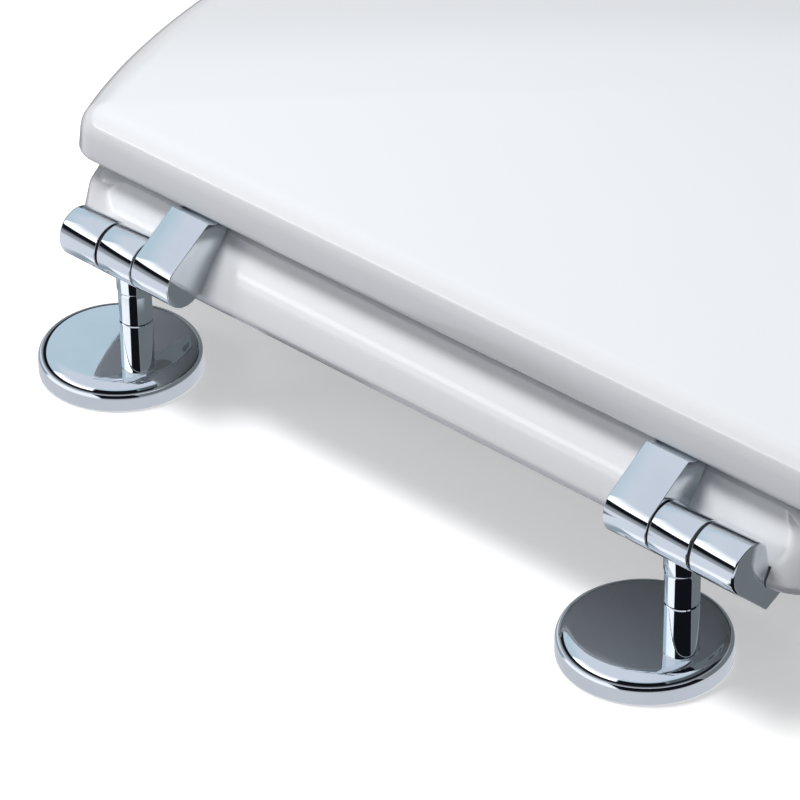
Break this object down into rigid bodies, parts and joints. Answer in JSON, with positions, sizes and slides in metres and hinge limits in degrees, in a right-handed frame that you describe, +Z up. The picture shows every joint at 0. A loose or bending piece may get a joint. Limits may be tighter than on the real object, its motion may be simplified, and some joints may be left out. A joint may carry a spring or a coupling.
{
  "type": "toilet seat and lid with bar hinges",
  "caption": "Closed white toilet seat and lid on a pair of chrome bar hinges that stand on round eccentric bases",
  "frame": {"origin": "On the pan's face, straight below the hinge line, midway between the two pillars", "axes": "+X along the hinge line to the right pillar, +Y to the front of the seat, +Z up"},
  "size_m": [0.375, 0.4699, 0.0763],
  "materials": {
    "white_moulding": "white moulded wood with a thick gloss coat",
    "chrome": "polished chrome plate",
    "steel": "plain stainless steel",
    "brass": "turned brass",
    "pad_rubber": "black rubber",
    "buffer_rubber": "white soft rubber",
    "washer_plastic": "black nylon",
    "bush_plastic": "natural nylon"
  },
  "bodies": {
    "hinge_mount": {"left_post": "chrome", "right_post": "chrome", "left_pillar_screw": "steel", "right_pillar_screw": "steel", "left_axle": "steel", "right_axle": "steel", "left_outer_washer": "washer_plastic", "right_outer_washer": "washer_plastic", "left_inner_washer": "washer_plastic", "right_inner_washer": "washer_plastic"},
    "seat": {"seat_ring": "white_moulding", "left_rear_seat_buffer": "buffer_rubber", "right_rear_seat_buffer": "buffer_rubber", "left_front_seat_buffer": "buffer_rubber", "right_front_seat_buffer": "buffer_rubber", "left_seat_arm": "chrome", "right_seat_arm": "chrome", "left_seat_bush": "bush_plastic", "right_seat_bush": "bush_plastic", "seat_arm_screws": "steel"},
    "lid": {"lid": "white_moulding", "left_rear_lid_buffer": "buffer_rubber", "right_rear_lid_buffer": "buffer_rubber", "left_front_lid_buffer": "buffer_rubber", "right_front_lid_buffer": "buffer_rubber", "left_lid_arm": "chrome", "right_lid_arm": "chrome", "left_lid_bush": "bush_plastic", "right_lid_bush": "bush_plastic", "lid_arm_screws": "steel"},
    "left_base": {"left_base_cover": "chrome", "left_base_plate": "steel", "left_fixing_insert": "brass", "left_base_pad": "pad_rubber"},
    "right_base": {"right_base_cover": "chrome", "right_base_plate": "steel", "right_fixing_insert": "brass", "right_base_pad": "pad_rubber"}
  },
  "joints": [
    {"name": "seat_hinge", "type": "hinge", "parent": "hinge_mount", "child": "seat", "pos_m": [0, 0, 0.0475], "axis": [1, 0, 0], "range_deg": [0, 95]},
    {"name": "lid_hinge", "type": "hinge", "parent": "seat", "child": "lid", "pos_m": [0, 0, 0.0475], "axis": [1, 0, 0], "range_deg": [0, 95]},
    {"name": "left_base_turn", "type": "hinge", "parent": "hinge_mount", "child": "left_base", "pos_m": [-0.106, 0, 0], "axis": [0, 0, 1], "range_deg": [-180, 180]},
    {"name": "right_base_turn", "type": "hinge", "parent": "hinge_mount", "child": "right_base", "pos_m": [0.106, 0, 0], "axis": [0, 0, 1], "range_deg": [-180, 180]}
  ]
}
